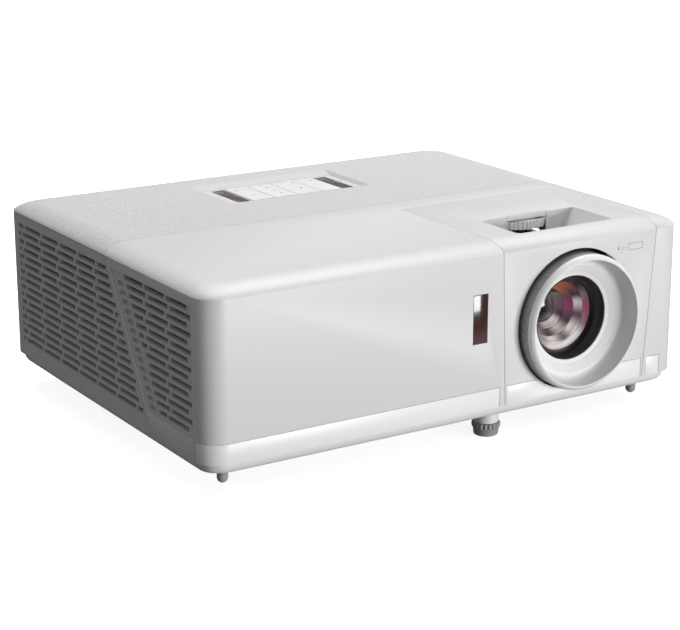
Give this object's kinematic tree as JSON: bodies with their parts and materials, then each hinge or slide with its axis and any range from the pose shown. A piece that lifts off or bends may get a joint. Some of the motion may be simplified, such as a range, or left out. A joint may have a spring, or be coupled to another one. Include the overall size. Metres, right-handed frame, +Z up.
{
  "type": "home projector",
  "caption": "White box-shaped projector with an off-centre lens, thumb-wheel lens shift, slotted sides, top keypad and screw feet.",
  "frame": {"origin": "middle of the footprint box, on the surface that the feet stand on", "axes": "+Z up, the lens looks along -Y, +X towards the lens side"},
  "size_m": [0.374, 0.3084, 0.1341],
  "materials": {
    "white_abs": "fine satin moulding",
    "ribbed_abs": "matt moulding with fine ribs",
    "white_trim": "satin",
    "grille_abs": "matt",
    "key_abs": "satin",
    "smoked_acrylic": "gloss, see-through to infrared",
    "black_abs": "matt",
    "grey_abs": "matt",
    "rubber": "matt",
    "coated_glass": "multi-coated",
    "cast_aluminium": "as cast",
    "plated_steel": "plated",
    "circuit_board": "solder mask"
  },
  "bodies": {
    "housing": {"front_cover": "white_abs", "rear_cover": "ribbed_abs", "bottom_case": "white_abs", "lens_panel": "white_abs", "trim_strip_left": "white_trim", "trim_strip_right": "white_trim", "trim_strip_panel": "white_trim", "side_panel_left": "grille_abs", "side_panel_right": "grille_abs", "front_grille_left": "grille_abs", "front_grille_right": "grille_abs", "ir_window": "smoked_acrylic", "dial_bezel": "white_abs", "bumper_left": "rubber", "bumper_right": "rubber", "keypad_bezel": "white_abs", "status_window_left": "smoked_acrylic", "status_window_right": "smoked_acrylic", "io_panel": "grey_abs", "hdmi_port_1": "plated_steel", "hdmi_port_2": "plated_steel", "usb_port": "plated_steel", "lan_port": "black_abs", "vga_port": "plated_steel", "serial_port": "plated_steel", "power_inlet": "black_abs", "audio_in_jack": "black_abs", "audio_out_jack": "black_abs", "light_engine": "cast_aluminium", "laser_module": "cast_aluminium", "heat_sink": "cast_aluminium", "power_supply": "cast_aluminium", "main_board": "circuit_board", "speaker": "black_abs", "fan_frame_left": "black_abs", "fan_frame_right": "black_abs"},
    "lens": {"lens_carriage": "cast_aluminium", "lens_barrel": "black_abs", "lens_baffle": "black_abs", "front_glass": "coated_glass", "rear_glass": "coated_glass"},
    "focus": {"focus_ring": "white_abs"},
    "dial": {"shift_dial": "white_abs"},
    "key_1": {"key_1": "key_abs"},
    "key_2": {"key_2": "key_abs"},
    "key_3": {"key_3": "key_abs"},
    "key_4": {"key_4": "key_abs"},
    "foot_stem_front": {"foot_stem_front": "white_abs"},
    "foot_wheel_front": {"foot_wheel_front": "grey_abs"},
    "foot_stem_rear_left": {"foot_stem_rear_left": "white_abs"},
    "foot_wheel_rear_left": {"foot_wheel_rear_left": "grey_abs"},
    "foot_stem_rear_right": {"foot_stem_rear_right": "white_abs"},
    "foot_wheel_rear_right": {"foot_wheel_rear_right": "grey_abs"},
    "fan_left": {"fan_rotor_left": "black_abs"},
    "fan_right": {"fan_rotor_right": "black_abs"},
    "phosphor_wheel": {"phosphor_wheel": "cast_aluminium"}
  },
  "joints": [
    {"name": "lens_shift", "type": "slide", "parent": "housing", "child": "lens", "axis": [0, 0, 1], "range_m": [-0.0006, 0.0022]},
    {"name": "focus_turn", "type": "hinge", "parent": "lens", "child": "focus", "pos_m": [0.0948, -0.14225, 0.0739], "axis": [0, -1, 0], "range_deg": [-60, 60]},
    {"name": "dial_turn", "type": "hinge", "parent": "housing", "child": "dial", "pos_m": [0.0986, -0.06495, 0.1242], "axis": [0, 0, 1], "range_deg": [-95, 335]},
    {"name": "key_1_press", "type": "slide", "parent": "housing", "child": "key_1", "axis": [0, 0, 1], "range_m": [-0.001, 0], "stiffness_N_per_m": 300, "springref_m": 0.0008},
    {"name": "key_2_press", "type": "slide", "parent": "housing", "child": "key_2", "axis": [0, 0, 1], "range_m": [-0.001, 0], "stiffness_N_per_m": 300, "springref_m": 0.0008},
    {"name": "key_3_press", "type": "slide", "parent": "housing", "child": "key_3", "axis": [0, 0, 1], "range_m": [-0.001, 0], "stiffness_N_per_m": 300, "springref_m": 0.0008},
    {"name": "key_4_press", "type": "slide", "parent": "housing", "child": "key_4", "axis": [0, 0, 1], "range_m": [-0.001, 0], "stiffness_N_per_m": 300, "springref_m": 0.0008},
    {"name": "foot_front_slide", "type": "slide", "parent": "housing", "child": "foot_stem_front", "axis": [0, 0, 1], "range_m": [-0.008, 0.007]},
    {"name": "foot_front_turn", "type": "hinge", "parent": "foot_stem_front", "child": "foot_wheel_front", "pos_m": [0.0336, -0.12575, 0], "axis": [0, 0, 1], "range_deg": [-590, 520]},
    {"name": "foot_rear_left_slide", "type": "slide", "parent": "housing", "child": "foot_stem_rear_left", "axis": [0, 0, 1], "range_m": [-0.008, 0.007]},
    {"name": "foot_rear_left_turn", "type": "hinge", "parent": "foot_stem_rear_left", "child": "foot_wheel_rear_left", "pos_m": [-0.15, 0.12775, 0], "axis": [0, 0, 1], "range_deg": [-590, 520]},
    {"name": "foot_rear_right_slide", "type": "slide", "parent": "housing", "child": "foot_stem_rear_right", "axis": [0, 0, 1], "range_m": [-0.008, 0.007]},
    {"name": "foot_rear_right_turn", "type": "hinge", "parent": "foot_stem_rear_right", "child": "foot_wheel_rear_right", "pos_m": [0.15, 0.12775, 0], "axis": [0, 0, 1], "range_deg": [-590, 520]},
    {"name": "fan_left_spin", "type": "hinge", "parent": "housing", "child": "fan_left", "pos_m": [-0.171, 0.06775, 0.0733], "axis": [1, 0, 0], "continuous": true},
    {"name": "fan_right_spin", "type": "hinge", "parent": "housing", "child": "fan_right", "pos_m": [0.171, 0.06775, 0.0733], "axis": [1, 0, 0], "continuous": true},
    {"name": "phosphor_wheel_spin", "type": "hinge", "parent": "housing", "child": "phosphor_wheel", "pos_m": [-0.015, 0.03975, 0.0563], "axis": [0, 1, 0], "continuous": true}
  ],
  "couplings": [
    {"joint": "dial_turn", "follows": "lens_shift", "rad_per_m": 2618},
    {"joint": "foot_front_turn", "follows": "foot_front_slide", "rad_per_m": 1256.6},
    {"joint": "foot_rear_left_turn", "follows": "foot_rear_left_slide", "rad_per_m": 1256.6},
    {"joint": "foot_rear_right_turn", "follows": "foot_rear_right_slide", "rad_per_m": 1256.6}
  ]
}
